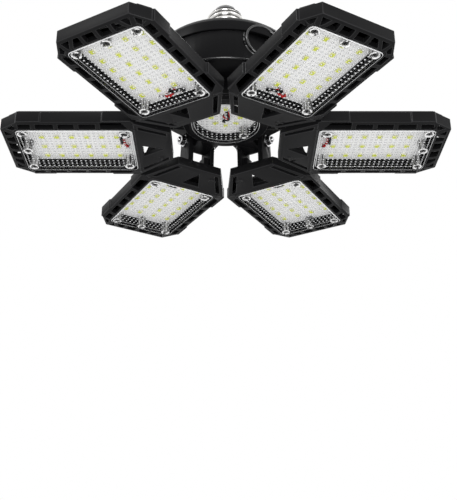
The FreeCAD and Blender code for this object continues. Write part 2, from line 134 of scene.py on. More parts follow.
class Finish:
    """A material: its Principled shader, and one method that adds any other node."""

    def __init__(self, name, color=(0.5, 0.5, 0.5), **sockets):
        self.material = bpy.data.materials.new(name)
        self.material.use_nodes = True
        self.tree = self.material.node_tree
        self.shader = self.tree.nodes["Principled BSDF"]
        self.feed(self.shader, {"Base Color": (*color, 1.0)})
        self.set(**sockets)

    def set(self, **sockets):
        """Fills sockets of the shader; an underscore stands for the space in a socket's name."""
        self.feed(self.shader, {key.replace("_", " "): value for key, value in sockets.items()})

    def feed(self, node, sockets):
        for key, value in sockets.items():
            if isinstance(value, Value):
                self.tree.links.new(value.socket, node.inputs[key])
            else:
                node.inputs[key].default_value = value

    def node(self, kind, settings=None, sockets=None, out=0):
        node = self.tree.nodes.new(kind)
        for key, value in (settings or {}).items():
            setattr(node, key, value)
        self.feed(node, sockets or {})
        return Value(self, node.outputs[out])

    def place(self):
        """The piece's own coordinates, in metres."""
        return self.node("ShaderNodeTexCoord", out="Object")

    def parts_of(self, vector):
        """A vector's three numbers."""
        split = self.node("ShaderNodeSeparateXYZ", None, {"Vector": vector})
        return [Value(self, socket) for socket in split.socket.node.outputs]

    def grain(self, scale, detail=3.0, rough=0.6):
        """Noise from 0 to 1, with about scale features in a metre."""
        sockets = {"Vector": self.place(), "Scale": scale, "Detail": detail, "Roughness": rough}
        return self.node("ShaderNodeTexNoise", None, sockets)

    def mixed(self, share, first, second):
        """The colour first where share is 0, and second where it is 1; a Mix node's colours are its sockets 6
        and 7, and its result is socket 2."""
        first, second = [color if isinstance(color, Value) else (*color, 1.0) for color in (first, second)]
        return self.node("ShaderNodeMix", {"data_type": "RGBA"}, {0: share, 6: first, 7: second}, 2)

    def relief(self, height, depth, strength=1.0):
        """The surface normal over a height field of that depth in metres."""
        sockets = {"Height": height, "Distance": depth, "Strength": strength}
        return self.node("ShaderNodeBump", None, sockets)


def white_world():
    """White to the eye, to gloss and through glass; a plain grey light to everything else."""
    world = bpy.data.worlds.new("white_room")
    world.use_nodes = True
    bpy.context.scene.world = world
    tree = world.node_tree
    grey = 0.88
    rays = tree.nodes.new("ShaderNodeLightPath")
    seen = rays.outputs["Is Camera Ray"]
    for other in ("Is Glossy Ray", "Is Transmission Ray"):
        either = tree.nodes.new("ShaderNodeMath")
        either.operation = "MAXIMUM"
        tree.links.new(seen, either.inputs[0])
        tree.links.new(rays.outputs[other], either.inputs[1])
        seen = either.outputs[0]
    mix = tree.nodes.new("ShaderNodeMix")
    mix.data_type = "RGBA"
    mix.inputs[6].default_value = (grey, grey, grey, 1)
    mix.inputs[7].default_value = (1, 1, 1, 1)
    tree.links.new(seen, mix.inputs[0])
    tree.links.new(mix.outputs[2], tree.nodes["Background"].inputs["Color"])
    tree.nodes["Background"].inputs["Strength"].default_value = 1.0


white_world()

floor_reach = 40.0
floor_height = -1.7
corners = [(x * floor_reach, y * floor_reach, floor_height) for x, y in ((-1, -1), (1, -1), (1, 1), (-1, 1))]
floor_mesh = bpy.data.meshes.new("floor")
floor_mesh.from_pydata(corners, [], [(0, 1, 2, 3)])
floor = bpy.data.objects.new("floor", floor_mesh)
bpy.context.scene.collection.objects.link(floor)
paint = Finish("pale_floor", (0.96, 0.96, 0.96), Roughness=0.8)
paint.set(Base_Color=paint.mixed(paint.grain(6.0), (0.95, 0.95, 0.95), (0.98, 0.98, 0.98)))
floor_mesh.materials.append(paint.material)

# ---- Lamp base ----------------------------------------------------------------------------------------------
# A screw shell of thin nickel-plated brass, with a rolled thread of a little over three turns above a plain
# skirt. Black glass closes its end and carries the centre contact, a soldered brass button.
MM = 0.001


def piece(name, points, faces, body, finishes, stands_for=(), slot=None, smooth=True, uses=None):
    """A mesh object from arrays of points and faces, riding on a body and standing for CAD nodes. Points that
    coincide, as at a pole, become one. uses gives each face the number of its finish."""
    mesh = bpy.data.meshes.new(name)
    mesh.from_pydata(np.asarray(points, float).reshape(-1, 3).tolist(), [], [list(f) for f in faces])
    for finish in finishes if isinstance(finishes, list) else [finishes]:
        mesh.materials.append(finish.material)
    if uses is not None:
        mesh.polygons.foreach_set("material_index", np.asarray(uses, np.int32))
    mesh.polygons.foreach_set("use_smooth", [smooth] * len(mesh.polygons))
    edit = bmesh.new()
    edit.from_mesh(mesh)
    bmesh.ops.remove_doubles(edit, verts=edit.verts, dist=1e-7)
    edit.to_mesh(mesh)
    edit.free()
    thing = bpy.data.objects.new(name, mesh)
    bpy.context.scene.collection.objects.link(thing)
    if body:
        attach(thing, body)
    for node in stands_for:
        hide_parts(node)
    return thing


def net(rows, columns, loop_rows=False, loop_columns=True):
    """Faces of a grid of points, row by row; a loop joins its last line to its first."""
    r = np.arange(rows if loop_rows else rows - 1)
    c = np.arange(columns if loop_columns else columns - 1)
    r, c = [g.ravel() for g in np.meshgrid(r, c, indexing="ij")]
    r1 = (r + 1) % rows
    c1 = (c + 1) % columns
    return np.stack([r * columns + c, r * columns + c1, r1 * columns + c1, r1 * columns + c], 1)


def turned(profile, steps=96):
    """Solid of revolution about +Z. The profile is a closed loop of (radius, height) in mm, run so that the
    solid lies on its left; x = radius * cos(turn), y = radius * sin(turn)."""
    profile = np.asarray(profile, float)
    turn = np.linspace(0, 2 * math.pi, steps, endpoint=False)
    radius = profile[:, 0][:, None]
    points = np.stack([radius * np.cos(turn), radius * np.sin(turn),
                       np.repeat(profile[:, 1][:, None], steps, 1)], 2)
    return points * MM, net(len(profile), steps, loop_rows=True)


def arc(centre, radius, start, end, steps):
    """Points of an arc of a profile, its angles in degrees."""
    angle = np.radians(np.linspace(start, end, steps))
    return [(centre[0] + radius * math.cos(a), centre[1] + radius * math.sin(a)) for a in angle]


def dress(node, finish):
    """Gives a CAD node, kept as it is, its finish."""
    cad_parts[node].data.materials[0] = finish.material


def soften(thing, degrees=32):
    """Smooth shading that keeps edges sharper than an angle."""
    bpy.context.view_layer.objects.active = thing
    thing.select_set(True)
    bpy.ops.object.shade_smooth_by_angle(angle=math.radians(degrees))
    thing.select_set(False)


nickel = Finish("nickel_plate", (0.80, 0.79, 0.77), Metallic=1.0)
worn = nickel.grain(900, 5)
plating = nickel.mixed(nickel.grain(140, 4), (0.86, 0.85, 0.83), (0.70, 0.69, 0.66))
across, along, _ = nickel.parts_of(nickel.place())
# painted shade: within 12.2 mm of the axis, in the thread's grooves and inside the shell, the nickel is painted
# near black
painted_groove_shade = (across * across + along * along).root().below(0.0122, 0.0003)
nickel.set(Roughness=worn * 0.14 + 0.13, Normal=nickel.relief(worn, 0.00002),
           Base_Color=nickel.mixed(painted_groove_shade, plating, (0.05, 0.05, 0.05)))

thread_pitch = 3.7
crest = 13.0
root = 11.9
thread_start = 4.9
thread_end = 17.2
shell_top = 17.6
skirt_end = -2.3
shell_bore = 10.8            # inner radius


def screw_shell():
    """Radius of the shell over height z and turn a: between root and crest as a raised cosine of
    2 pi (z - start) / pitch - a, to the power of 0.8, faded in and out at both ends; a rolled lip closes the
    top."""
    steps = 128
    height = np.linspace(skirt_end, shell_top, 220)[:, None]
    turn = np.linspace(0, 2 * math.pi, steps, endpoint=False)[None, :]
    wave = (0.5 - 0.5 * np.cos(2 * math.pi * (height - thread_start) / thread_pitch - turn)) ** 0.8
    fade_in = np.clip((height - thread_start) / 1.6 + 0 * turn, 0, 1)
    fade_out = np.clip((thread_end - height) / 1.2 + 0 * turn, 0, 1)
    radius = (crest - 0.05) * (1 - fade_in) + fade_in * (root + (crest - root) * wave)
    radius = radius * fade_out + (1 - fade_out) * (root - 0.25)
    radius = np.where(height < -0.05, crest - 0.65, radius)
    outer = np.stack([radius * np.cos(turn), radius * np.sin(turn), height + 0 * turn], 2)
    lip = []
    rolled = arc((root - 1.25, shell_top), 1.0, 0, 90, 6)[1:]
    for r, z in rolled + [(9.6, 18.6), (9.6, 18.0), (shell_bore, 17.4), (shell_bore, skirt_end)]:
        lip.append(np.stack([r * np.cos(turn[0]), r * np.sin(turn[0]), np.full(steps, z)], 1))
    points = np.concatenate([outer, np.array(lip)])
    return points * MM, net(len(points), steps, loop_rows=True)


shell = piece("screw_shell", *screw_shell(), "hub", nickel, ["lamp_base_shell"], "base_metal")
soften(shell, 50)

glass = Finish("black_glass", (0.015, 0.015, 0.017), Coat_Weight=0.5)
glass.set(Roughness=glass.grain(700) * 0.12 + 0.07)
bead = [(0, 18.7), (9.7, 18.7)] + arc((8.6, 19.9), 1.1, -35, 40, 5) + [(8.3, 22.6)] \
    + arc((7.7, 22.6), 0.5, 0, 90, 4) + [(0, 23.1)]
insulator = piece("glass_insulator", *turned(bead), "hub", glass, ["lamp_base_insulator"], "base_glass")
soften(insulator)

solder = Finish("contact_metal", (0.72, 0.70, 0.66), Metallic=1.0)
solder.set(Roughness=solder.grain(1500, 4) * 0.3 + 0.22, Normal=solder.relief(solder.grain(700), 0.0001))
button = [(0, 23.05), (4.7, 23.05), (4.7, 24.6)] + arc((3.1, 25.4), 1.6, 0, 50, 5) \
    + [(2.2, 27.2), (0.9, 27.65), (0, 27.7)]
contact = piece("centre_contact", *turned(button, 64), "hub", solder, ["lamp_base_contact"], "contact_metal")
soften(contact, 50)

# ---- Collar and cap -----------------------------------------------------------------------------------------
# The upper half of the housing is a black moulding with a vented crown, down to a parting line. A glossy collar
# of harder plastic stands on the crown and holds the screw shell.


def black_plastic(name, color, low, high, grain=2600.0):
    """Moulded black plastic: a fine spark-eroded grain, with slightly smoother and rougher patches."""
    finish = Finish(name, color, Specular_IOR_Level=0.06)
    skin = finish.grain(grain, 4)
    patch = finish.grain(35, 2)
    finish.set(Roughness=patch * (high - low) + low + skin * 0.06,
               Base_Color=finish.mixed(patch, tuple(c * 0.85 for c in color), tuple(c * 1.2 for c in color)),
               Normal=finish.relief(skin, 0.00004, 0.5))
    return finish


gloss = black_plastic("gloss_collar", (0.004, 0.004, 0.0045), 0.14, 0.22)
satin = black_plastic("satin_housing", (0.0055, 0.0055, 0.006), 0.28, 0.38)

ring = [(12.7, -2.4), (10.7, -2.4), (10.7, -8.9), (17.9, -8.9), (18.0, -8.2), (15.9, -1.1)] \
    + arc((15.2, -1.1), 0.7, 15, 90, 4) + [(12.9, -0.4), (12.7, -0.6)]
collar = piece("collar", *turned(ring), "hub", gloss, ["base_collar"], "collar_plastic")
soften(collar)

vent_columns = 24
vent_share = 0.66            # width of a vent against its column
cone_slope = 0.96            # how fast the vented cone widens on its way down
cap_wall = (1.5, 1.3)        # how far its inside lies inward and below


def vented_crown():
    """The cap as a turned shell: a grid over turn and profile, whose faces are left out at the vents, closed
    by the vents' own walls. The profile is crown, vented cone, domed shoulder, rim and skirt, then the inside."""
    top = [(13.1, -8.95), (24, -8.95), (32.6, -9.0), (33.2, -9.25)]
    cone = [(33.2 - (z + 9.25) * cone_slope, z) for z in (-10.65, -11.95, -13.15, -14.45)]
    shoulder = [(38.6, -14.9), (41.3, -16.1), (44.0, -17.6), (46.6, -19.3), (48.8, -21.2), (50.5, -23.2),
                (51.5, -25.0)]
    skirt = [(51.85, -25.6), (52.0, -26.2), (52.0, -32.3), (51.8, -32.5), (50.1, -32.5), (50.0, -26.4)]
    under = [(48.9, -24.4), (45.0, -20.5), (40.0, -17.6), (37.0, -16.6)]
    inner_cone = [(r - cap_wall[0], z - cap_wall[1]) for r, z in reversed(cone)]
    inside = [(31.2, -11.0), (13.1, -10.95)]
    profile = np.array(top + cone + shoulder + skirt + under + inner_cone + inside)
    first = len(top)
    inner_first = len(profile) - len(inside) - len(cone)
    edges = np.array([0.0, 0.5 - vent_share / 2, 0.5 - vent_share / 4, 0.5, 0.5 + vent_share / 4,
                      0.5 + vent_share / 2, 0.86, 0.93])
    turn = ((np.arange(vent_columns)[:, None] + edges[None, :] - 0.5) * 2 * math.pi / vent_columns).ravel()
    steps = len(turn)
    points = np.stack([profile[:, 0][:, None] * np.cos(turn), profile[:, 0][:, None] * np.sin(turn),
                       np.repeat(profile[:, 1][:, None], steps, 1)], 2)
    rows = len(profile)
    column = np.arange(steps)
    step = column % len(edges)
    in_vent = (step >= 1) & (step < 5)
    vent_row = np.isin(np.arange(rows), [first, first + 2, inner_first, inner_first + 2])
    kept = ~(vent_row[:, None] & in_vent[None, :]).ravel()
    skin = net(rows, steps, loop_rows=True)[:, ::-1][kept]
    here = column[in_vent]
    there = (here + 1) % steps
    walls = []
    for a, c in ((first, inner_first + 2), (first + 2, inner_first)):
        # outer lines a (upper) and b (lower) of a row of vents meet its inner lines d (upper) and c (lower)
        b, d = a + 1, c + 1
        walls.append(np.stack([a * steps + there, a * steps + here, d * steps + here, d * steps + there], 1))
        walls.append(np.stack([b * steps + here, b * steps + there, c * steps + there, c * steps + here], 1))
        left = column[step == 1]
        walls.append(np.stack([a * steps + left, b * steps + left, c * steps + left, d * steps + left], 1))
        right = column[step == 5]
        walls.append(np.stack([b * steps + right, a * steps + right, d * steps + right, c * steps + right], 1))
    return points * MM, np.concatenate([skin] + walls)


cap = piece("vented_cap_shell", *vented_crown(), "hub", satin, ["vented_cap"], "black_plastic")
soften(cap, 25)

# ---- Drum, side port and hinge carrier ----------------------------------------------------------------------
# The drum meets the cap at the parting line and carries the round side port, shut by a blank plug. Under it the
# hinge carrier holds six lugs. Each is a moulding, with the small edge radius of its mould.
# painted highlight: the edge finishes are glossier and also painted lighter than the faces, so every bevel reads as
# a thin lit line
painted_highlight_edges = black_plastic("shiny_edge_painted_light", (0.016, 0.016, 0.017), 0.18, 0.26)
painted_highlight_edges.set(Specular_IOR_Level=0.2)
painted_glint_edges = black_plastic("glossy_edge_painted_light", (0.02, 0.02, 0.021), 0.14, 0.2)
painted_glint_edges.set(Specular_IOR_Level=0.9)


def eased(name, node, body, finish, width, edge=painted_highlight_edges):
    """A CAD node's shape with rounded edges: its triangles merged and joined into flat faces, and a bevel of
    that width in mm, a little shinier than the faces and painted lighter than them as a painted highlight, along
    every edge sharper than 30 degrees."""
    same_point = 2e-6        # metres
    same_face = math.radians(0.6)
    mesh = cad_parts[node].data.copy()
    mesh.name = name
    edit = bmesh.new()
    edit.from_mesh(mesh)
    bmesh.ops.remove_doubles(edit, verts=edit.verts, dist=same_point)
    bmesh.ops.dissolve_limit(edit, angle_limit=same_face, verts=edit.verts, edges=edit.edges)
    edit.to_mesh(mesh)
    edit.free()
    mesh.materials.clear()
    mesh.materials.append(finish.material)
    mesh.materials.append(edge.material)
    mesh.polygons.foreach_set("material_index", [0] * len(mesh.polygons))
    mesh.polygons.foreach_set("use_smooth", [True] * len(mesh.polygons))
    thing = bpy.data.objects.new(name, mesh)
    bpy.context.scene.collection.objects.link(thing)
    bevel = thing.modifiers.new("edges", "BEVEL")
    bevel.width = width * MM
    bevel.segments = 2
    bevel.material = 1
    bevel.limit_method = "ANGLE"
    bevel.angle_limit = math.radians(30)
    bevel.harden_normals = True
    bevel.use_clamp_overlap = False
    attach(thing, body)
    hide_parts(node)


eased("drum", "drum_housing", "hub", satin, 0.7, painted_glint_edges)
eased("port_plug", "side_port_plug", "hub", satin, 0.4, painted_glint_edges)
eased("carrier", "hinge_carrier", "hub", satin, 0.3)

# ---- Hinge bolts and nuts -----------------------------------------------------------------------------------
# Six M4 bolts of bright zinc lie along the hinge axes. Each has a hexagon head with a chamfered face on the
# side of the lead, and a washer, a nut and a bare threaded end on the other.
zinc = Finish("bright_zinc", (0.74, 0.74, 0.75), Metallic=1.0)
zinc.set(Roughness=zinc.grain(1200, 3) * 0.16 + 0.16, Normal=zinc.relief(zinc.grain(2200), 0.00002, 0.6))

hinge_out = 43.0             # from the hub's axis to a hinge's
hinge_height = -62.5
hex_flats = 7.0              # across the flats of a bolt's head and a nut
panels = range(1, 7)


def nut_side(number):
    """+1 where a panel's nut is on its anticlockwise side, seen from above, else -1."""
    return -1 if number < 4 else 1


def around_hub(out, along, height, number):
    """Points outward from a panel's hinge axis, along it (anticlockwise) and at a height on the hub's axis, all
    in mm, to the frame: turned by 60 n - 120 degrees about the hub's axis."""
    turn = math.radians(60 * number - 120)
    out = out + hinge_out
    return np.stack([out * math.cos(turn) - along * math.sin(turn),
                     out * math.sin(turn) + along * math.cos(turn), height], -1) * MM


def on_hinge(points, number):
    """Points (outward, along the axis towards the nut, up) in mm from the middle of a hinge, to the frame."""
    out, along, up = np.moveaxis(np.asarray(points, float), -1, 0)
    return around_hub(out, along * nut_side(number), up + hinge_height, number)


def upright(sections, steps):
    """Closed solid about a vertical axis from (radius, height), where a radius may follow the turn;
    x = radius * cos(turn), y = radius * sin(turn)."""
    turn = np.linspace(0, 2 * math.pi, steps, endpoint=False)
    radius = np.array([np.broadcast_to(r(turn) if callable(r) else r, steps) for r, z in sections])
    height = np.array([z for r, z in sections])[:, None]
    points = np.stack([radius * np.cos(turn), radius * np.sin(turn), height + 0 * radius], 2)
    return points.reshape(-1, 3), net(len(sections), steps)


def hexagon(limit=math.inf):
    """Radius of a hexagon at each turn: half its width over the cosine of the angle from the nearest flat, cut
    by the cone of a chamfer to at most the limit."""
    def radius(turn):
        flat = (turn + math.pi / 6) % (math.pi / 3) - math.pi / 6
        return np.minimum(hex_flats / 2 / np.cos(flat), limit)
    return radius


# radius, and place along the hinge axis towards the nut
bolt_sections = [(0.0, -14.35), (3.1, -14.35), (3.3, -14.25), (hexagon(3.75), -13.95), (hexagon(), -13.55),
                 (hexagon(), -12.1), (2.0, -12.1), (2.0, 8.1), (1.9, 8.1),
                 *[(1.98 if i % 2 else 1.74, 9.0 + i * 0.35) for i in range(13)],
                 (1.6, 13.6), (1.35, 13.8), (0.0, 13.8)]
washer_sections = [(2.1, 8.12), (4.15, 8.12), (4.3, 8.2), (4.3, 8.95), (4.15, 9.05), (2.1, 9.05)]
nut_sections = [(2.1, 9.1), (3.2, 9.1), (hexagon(3.8), 9.45), (hexagon(), 9.6), (hexagon(), 11.9),
                (hexagon(3.75), 12.1), (3.1, 12.38), (2.6, 12.4), (2.1, 12.1)]


def hinge_set(name, loops, node):
    """Six copies of closed solids in one mesh, one on each hinge."""
    points = []
    faces = []
    for number in panels:
        for sections, closed in loops:
            solid, quads = upright(sections + sections[:1] if closed else sections, 48)
            laid = solid[:, [0, 2, 1]]       # its axis along the hinge's
            if nut_side(number) > 0:
                quads = quads[:, ::-1]
            faces.append(quads + sum(len(p) for p in points))
            points.append(on_hinge(laid, number))
    soften(piece(name, np.concatenate(points), np.concatenate(faces), "hub", zinc, [node], "steel"), 30)


hinge_set("bolts", [(bolt_sections, False)], "hinge_bolts")
hinge_set("nuts_and_washers", [(washer_sections, True), (nut_sections, True)], "hinge_nuts")

# ---- Panel frames and heat sinks ----------------------------------------------------------------------------
# Six panels hang on the hinges. The frame of each is one moulding in satin black: a ladder of openings around
# the lens, a sloping nose plate and two arms. A cast aluminium back with stepped ribs, painted black, closes it.
frame_black = black_plastic("frame_black", (0.008, 0.008, 0.0085), 0.34, 0.46)
sink_black = black_plastic("painted_casting", (0.007, 0.007, 0.0075), 0.40, 0.54, 1500.0)

lens_face = -90.9            # height of the lower face of a panel's lens


def on_panel(points, number):
    """Points of a panel in mm, to the frame: s outward from the hinge axis, t along it and u up from the lens's
    face."""
    s, t, u = np.moveaxis(np.asarray(points, float), -1, 0)
    return around_hub(s, t, u + lens_face, number)


for number in panels:
    body = "panel_%d" % number
    eased(body + "_rim", body + "_frame", body, frame_black, 0.3)
    eased(body + "_back", body + "_heat_sink", body, sink_black, 0.3)

# ---- Light boards and chips ---------------------------------------------------------------------------------
# A white-lacquered aluminium board fills each panel, with 24 chips in six rows of four; the centre light's round
# board has a ring of eight. A chip is a white cup with silver feet, filled with yellow-green phosphor.
lacquer = Finish("white_lacquer", (0.86, 0.86, 0.86))
lacquer.set(Base_Color=lacquer.mixed(lacquer.grain(90, 4), (0.80, 0.80, 0.80), (0.90, 0.90, 0.90)),
            Roughness=lacquer.grain(400) * 0.2 + 0.35, Normal=lacquer.relief(lacquer.grain(1800), 0.00003, 0.5))
cup = Finish("chip_cup")
cup.set(Base_Color=cup.mixed(cup.grain(1500), (0.82, 0.83, 0.42), (0.74, 0.75, 0.34)), Roughness=0.4)
phosphor = Finish("phosphor")
phosphor.set(Base_Color=phosphor.mixed(phosphor.grain(2400, 4), (0.68, 0.74, 0.07), (0.58, 0.65, 0.04)),
             Normal=phosphor.relief(phosphor.grain(5000), 0.00004), Roughness=0.35)
feet = Finish("chip_feet", (0.82, 0.81, 0.78), Metallic=1.0)
feet.set(Roughness=feet.grain(3000) * 0.2 + 0.2)


def chip():
    """One chip in mm, x outward, y along, z up to its board: six rings of eight points, each a rectangle with
    its corners cut. They run from the phosphor up over the cup's rim and down its tapered walls to the feet."""
    length, width, cut, height = np.array([
        (2.80, 2.10, 0.40, -0.90), (2.90, 2.20, 0.35, -1.0), (3.24, 2.54, 0.15, -1.0), (3.40, 2.70, 0.10, -0.9),
        (3.50, 2.80, 0.05, -0.25), (3.50, 2.80, 0.05, 0.0)]).T
    x = length / 2
    y = width / 2
    across = np.stack([x, x - cut, cut - x, -x, -x, cut - x, x - cut, x], 1)
    along = np.stack([y - cut, y, y, y - cut, cut - y, -y, -y, cut - y], 1)
    points = np.dstack([across, along, np.repeat(height[:, None], 8, 1)]).reshape(-1, 3)
    sides = net(6, 8)
    ends = np.array([np.arange(7, -1, -1), np.arange(40, 48)])
    return points, sides, ends


def chips(places, turns):
    """Chips moved to each place and turned about the vertical, as one mesh: all sides first, then all ends."""
    points, sides, ends = chip()
    turns = np.asarray(turns, float)[:, None]
    x = points[:, 0] * np.cos(turns) - points[:, 1] * np.sin(turns)
    y = points[:, 0] * np.sin(turns) + points[:, 1] * np.cos(turns)
    moved = np.dstack([x, y, np.repeat(points[None, :, 2], len(turns), 0)]) + np.asarray(places)[:, None, :]
    shift = (np.arange(len(places)) * len(points))[:, None, None]
    all_sides = (sides + shift).reshape(-1, 4)
    all_ends = (ends + shift).reshape(-1, 8)
    kinds = np.concatenate([np.tile(np.repeat([0, 0, 0, 0, 2], 8), len(places)), np.tile([1, 2], len(places))])
    return moved, all_sides.tolist() + all_ends.tolist(), kinds


board_rise = 7.9             # from a lens's face to the chips' side of its board
centre_board = -64.2         # height of the centre board
first_row, row_pitch, column_pitch = 28.1, 9.8, 11.5
row, column = [g.ravel() for g in np.meshgrid(np.arange(6), np.arange(4), indexing="ij")]
panel_chips = np.stack([first_row + row_pitch * row, (column - 1.5) * column_pitch, np.full(24, board_rise)], 1)
for number in panels:
    body = "panel_%d" % number
    dress(body + "_light_board", lacquer)
    points, faces, kinds = chips(panel_chips, np.zeros(24))
    piece(body + "_chips", on_panel(points, number), faces, body, [cup, phosphor, feet], [body + "_leds"], "led",
          smooth=False, uses=kinds)

dress("centre_light_board", lacquer)
ring_radius = 9.7
turn = np.arange(8) * math.pi / 4
ring_places = np.stack([ring_radius * np.cos(turn), ring_radius * np.sin(turn), np.full(8, centre_board)], 1)
points, faces, kinds = chips(ring_places, turn)
piece("centre_chips", points * MM, faces, "hub", [cup, phosphor, feet], ["centre_leds"], "led",
      smooth=False, uses=kinds)

# ---- Lenses -------------------------------------------------------------------------------------------------
# Each panel and the centre light has a clear moulded lens: a flat face with rounded edges, and a skirt around
# the board. The inside of the face is moulded with small frosted dimples in straight rows.
dimple_pitch = (3.15, 3.08)      # along and across a panel
dimple_phase = (-0.59, 0.28)     # in pitches, along and across
dimple_radius = 0.79
dimple_middle = 0.52             # radius of its pale middle, frost with a painted glint, inside a dark edge of painted shade
dimple_blur = 0.08


def clear_finish(name, dimpled):
    """Clear plastic, nearly all let through. Dimpled, it has round spots of frost on a rectangular grid; each
    spot's middle is painted pale, as frost and a painted glint of refracted light, inside a dark edge of painted
    shade, where the plastic turns the light away."""
    finish = Finish(name, (0.60, 0.61, 0.62))
    haze = finish.grain(300, 2)
    finish.set(Roughness=haze * 0.1 + 0.05)
    veil = haze * 0.008 + 0.004
    if dimpled:
        x, y, _ = finish.parts_of(finish.node("ShaderNodeUVMap", {"uv_map": "lens"}))
        across = (x * 100.0).around_cell(dimple_pitch[0], dimple_phase[0])
        along = (y * 100.0).around_cell(dimple_pitch[1], dimple_phase[1])
        away = (across * across + along * along).root()
        spot = away.below(dimple_radius, dimple_blur)
        pale = away.below(dimple_middle, dimple_blur)
        veil = veil + spot * 0.8
        # painted glint and shade: a pale middle (frost and refracted light) and a near-black edge on each dimple
        finish.set(Normal=finish.relief(spot, 0.0003, 0.6),
                   Base_Color=finish.mixed(pale, (0.05, 0.05, 0.05), (0.90, 0.91, 0.92)))
    finish.set(Alpha=veil)
    return finish


clear_dimpled = clear_finish("clear_dimpled", True)
clear_plain = clear_finish("clear_plain", False)
# painted highlight: the lens's rounded edges and sides are painted near white and nearly opaque, as bright lines of
# light along the clear edges
lens_edge_painted_highlight = Finish("lens_edge_painted_highlight")
lens_edge_painted_highlight.set(Base_Color=lens_edge_painted_highlight.mixed(lens_edge_painted_highlight.grain(500), (0.78, 0.79, 0.80), (0.9, 0.9, 0.9)),
               Roughness=0.15, Alpha=lens_edge_painted_highlight.grain(260, 2) * 0.3 + 0.75)

skirt = 9.5                  # how far it stands up from the face
centre_skirt = 8.3
# a lens's section, from the middle of its face round the skirt to the middle of its back: how far inside the
# outline each ring lies and how high above the face, and the finish of the strip that follows it
lens_section = [(0.35, 0.0, 2), (0.10, 0.10, 2), (0.0, 0.35, 1), (0.0, skirt - 0.4, 2), (0.0, skirt, 1),
                (1.3, skirt, 1), (1.3, 2.0, 2), (1.4, 1.72, 2), (1.75, 1.6, 0)]
lens_half = (37.0, 24.5)     # half the lens's length and width
lens_middle = 53.1           # of a panel's lens, from the hinge axis
centre_radius = 22.7
centre_face = -70.9          # height of the lower face of the centre lens


def lens_outline(inset):
    """The lens's outline, a rectangle with round corners, pulled in by the inset: corners of radius 3 less the
    inset, at least 0.6 mm, each an arc of seven points."""
    corner = max(3.0 - inset, 0.6)
    half = np.array(lens_half) - inset - corner
    turn = np.radians(np.linspace(0, 90, 7))[None, :] + np.array([0, 1, 2, 3])[:, None] * math.pi / 2
    middle = half * np.array([(1, 1), (-1, 1), (-1, -1), (1, -1)])
    x = middle[:, 0][:, None] + corner * np.cos(turn)
    y = middle[:, 1][:, None] + corner * np.sin(turn)
    return np.stack([lens_middle + x.ravel(), y.ravel()], 1)


def lens(name, rings, body, node, to_frame):
    """A lens from its rings in mm, its first and last ring filled, with its plan as UV in decimetres."""
    count = len(rings[0])
    points = np.concatenate(rings)
    ends = [list(range(count - 1, -1, -1)), list(range(len(points) - count, len(points)))]
    faces = net(len(rings), count).tolist() + ends
    kinds = np.concatenate([np.repeat([k for _, _, k in lens_section[:-1]], count), [1, 0]])
    thing = piece(name, to_frame(points), faces, body, [clear_dimpled, clear_plain, lens_edge_painted_highlight], [node],
                  "clear_lens", smooth=False, uses=kinds)
    corners = np.empty(len(thing.data.loops), int)
    thing.data.loops.foreach_get("vertex_index", corners)
    layer = thing.data.uv_layers.new(name="lens")
    layer.data.foreach_set("uv", (points[corners][:, :2] / 100).ravel())


for number in panels:
    rings = [np.insert(lens_outline(inset), 2, up, 1) for inset, up, _ in lens_section]
    lens("panel_%d_cover" % number, rings, "panel_%d" % number, "panel_%d_lens" % number,
         lambda p, n=number: on_panel(p, n))

turn = np.linspace(0, 2 * math.pi, 72, endpoint=False)
rings = [np.stack([(centre_radius - inset) * np.cos(turn), (centre_radius - inset) * np.sin(turn),
                   np.full(72, up * centre_skirt / skirt + centre_face)], 1) for inset, up, _ in lens_section]
lens("centre_cover", rings, "hub", "centre_lens", lambda p: p * MM)

# ---- Lens screws --------------------------------------------------------------------------------------------
# Five screws hold a panel's lens and two the round one. Each sits with its cross recess in a clear boss, a
# tube that stands from the face of the lens up to the board.
blackened = Finish("blackened_steel", Metallic=0.9)
blackened.set(Base_Color=blackened.mixed(blackened.grain(900), (0.035, 0.035, 0.035), (0.10, 0.10, 0.10)),
              Roughness=blackened.grain(1600) * 0.2 + 0.25)


def cross(turn, arm=1.3, half=0.34):
    """Outline of a cross recess: its arm's length near the arms' middles, else half a width over the sine of
    the angle from the nearest arm."""
    near = np.abs((turn + math.pi / 4) % (math.pi / 2) - math.pi / 4)
    return np.where(near < math.atan2(half, arm), arm, half / np.sin(np.maximum(near, 0.05)))


def shrunk_cross(turn):
    return cross(turn, 1.15, 0.2)


screw_end = 6.2              # the sections below are drawn out to the depth of each lens
screw_sections = [(0.0, 0.95), (shrunk_cross, 0.95), (cross, 0.45), (1.5, 0.42), (1.9, 0.6), (2.05, 0.95),
                  (2.05, 1.5), (1.0, 1.9), (1.0, screw_end), (0.0, screw_end)]
boss_sections = [(2.15, 0.1), (2.3, 0.02), (3.05, 0.02), (3.15, 0.12), (3.15, 6.15), (2.9, 6.15), (2.35, 1.75),
                 (2.15, 0.9)]


def copies(solid, quads, places):
    """One solid set at each place, as points and faces of one mesh."""
    points = np.asarray(places, float)[:, None, :] + solid[None]
    shift = np.arange(len(places))[:, None, None] * len(solid)
    return points, (quads[None] + shift).reshape(-1, 4)


def fastened(name, places, body, to_frame, depth):
    """Screws and bosses at each place of a lens, as deep as its board lies above its face."""
    steps = 32
    for label, sections, finish, closed in (("screws", screw_sections, [blackened], False),
                                            ("bosses", boss_sections, [boss_ring_painted_glints, clear_boss], True)):
        scaled = [(r, z * depth / screw_end) for r, z in sections]
        points, faces = copies(*upright(scaled + scaled[:1] if closed else scaled, steps), places)
        kinds = np.zeros(len(faces), int)
        if closed:
            kinds = np.tile(np.repeat([0, 0, 0, 1, 1, 1, 1, 0], steps), len(places))
        thing = piece(name + "_" + label, to_frame(points), faces, body, finish, (),
                      "clear_lens" if closed else "steel", uses=kinds)
        soften(thing, 40)


